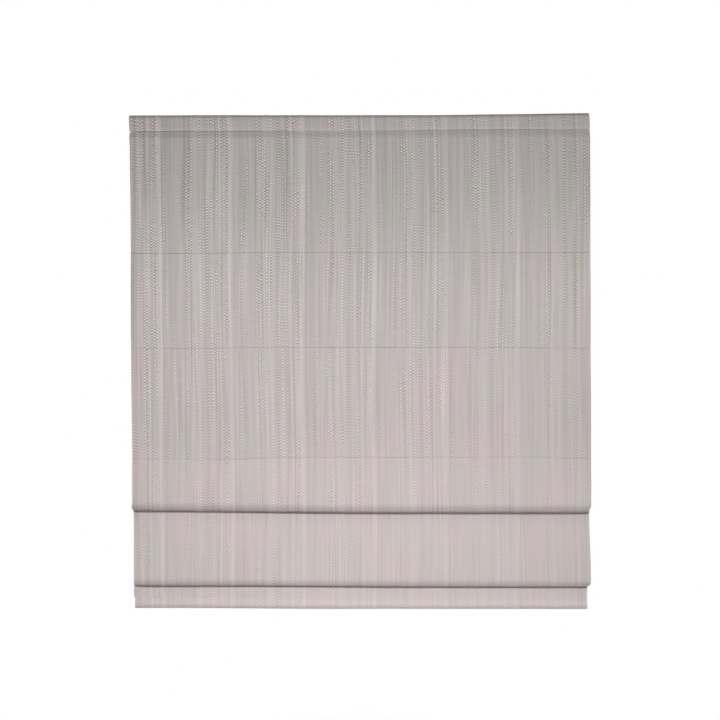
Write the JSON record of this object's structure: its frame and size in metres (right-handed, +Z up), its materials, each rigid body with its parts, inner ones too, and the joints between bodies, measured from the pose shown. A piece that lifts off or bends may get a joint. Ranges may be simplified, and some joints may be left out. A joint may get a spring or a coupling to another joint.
{
  "type": "roman blind",
  "caption": "Roman blind: striped jacquard cloth with rods in tucks behind, gathered folds at the bottom, a weighted hem and a chain-driven head rail on wall brackets.",
  "frame": {"origin": "middle of the line of wall screws, on the wall's face", "axes": "+X across the window to the right as seen from the room, +Y into the wall, +Z up"},
  "size_m": [1.203, 0.0448, 1.2962],
  "materials": {
    "cloth": "jacquard weave with satin stripes, soft sheen",
    "rail": "white powder coat on an extruded profile",
    "moulding": "fine moulded texture",
    "hook_tape": "hook pile",
    "loop_tape": "loop pile",
    "bracket": "zinc plated",
    "spring_steel": "bright rolled",
    "cradle": "moulded",
    "spool": "moulded, smooth drum",
    "wheel": "acetal, smooth",
    "shaft": "drawn bar",
    "rod": "pultruded glass fibre",
    "caps": "soft vinyl",
    "ring": "polished",
    "bar": "white painted flat bar"
  },
  "bodies": {
    "head": {"fabric": "cloth", "head_rail": "rail", "end_cap_left": "moulding", "control_housing": "moulding", "control_cover": "moulding", "hook_tape": "hook_tape", "loop_tape": "loop_tape", "bracket_left": "bracket", "bracket_right": "bracket", "bracket_clip_left": "spring_steel", "bracket_clip_right": "spring_steel", "clip_rivets": "spring_steel", "cradle_1": "cradle", "cradle_2": "cradle", "cradle_3": "cradle", "cradle_4": "cradle"},
    "drive": {"chain_wheel": "wheel", "clutch_spring": "spring_steel", "drive_shaft": "shaft", "spool_1": "spool", "spool_2": "spool", "spool_3": "spool", "spool_4": "spool"},
    "row_1": {"rod_1": "rod", "rod_caps_1": "caps", "rings_row_1": "ring"},
    "row_2": {"rod_2": "rod", "rod_caps_2": "caps", "rings_row_2": "ring"},
    "row_3": {"rod_3": "rod", "rod_caps_3": "caps", "rings_row_3": "ring"},
    "row_4": {"rod_4": "rod", "rod_caps_4": "caps", "rings_row_4": "ring"},
    "hem": {"rod_5": "rod", "rod_caps_5": "caps", "rings_row_5": "ring", "weight_bar": "bar", "bar_caps": "caps"}
  },
  "joints": [
    {"name": "lift", "type": "slide", "parent": "head", "child": "row_3", "axis": [0, 0, 1], "range_m": [0, 0.783], "deforming": ["fabric"]},
    {"name": "row_1_lift", "type": "slide", "parent": "head", "child": "row_1", "axis": [0, 0, 1], "range_m": [0, 0.283]},
    {"name": "row_2_lift", "type": "slide", "parent": "head", "child": "row_2", "axis": [0, 0, 1], "range_m": [0, 0.514]},
    {"name": "shaft_turn", "type": "hinge", "parent": "head", "child": "drive", "pos_m": [0, -0.0223, -0.0074], "axis": [1, 0, 0], "range_deg": [0, 6241]},
    {"name": "let_down", "type": "slide", "parent": "row_3", "child": "row_4", "axis": [0, 0.0283, 0.9996], "range_m": [-0.16807, 0], "deforming": ["fabric"]},
    {"name": "hem_let_down", "type": "slide", "parent": "row_4", "child": "hem", "axis": [0, 0.093, 0.9957], "range_m": [-0.13709, 0], "deforming": ["fabric"]}
  ],
  "couplings": [
    {"joint": "row_1_lift", "follows": "lift", "ratio": 0.35888},
    {"joint": "row_2_lift", "follows": "lift", "ratio": 0.6539},
    {"joint": "shaft_turn", "follows": "lift", "rad_per_m": 138.89},
    {"joint": "hem_let_down", "follows": "let_down", "ratio": 0.8127}
  ]
}
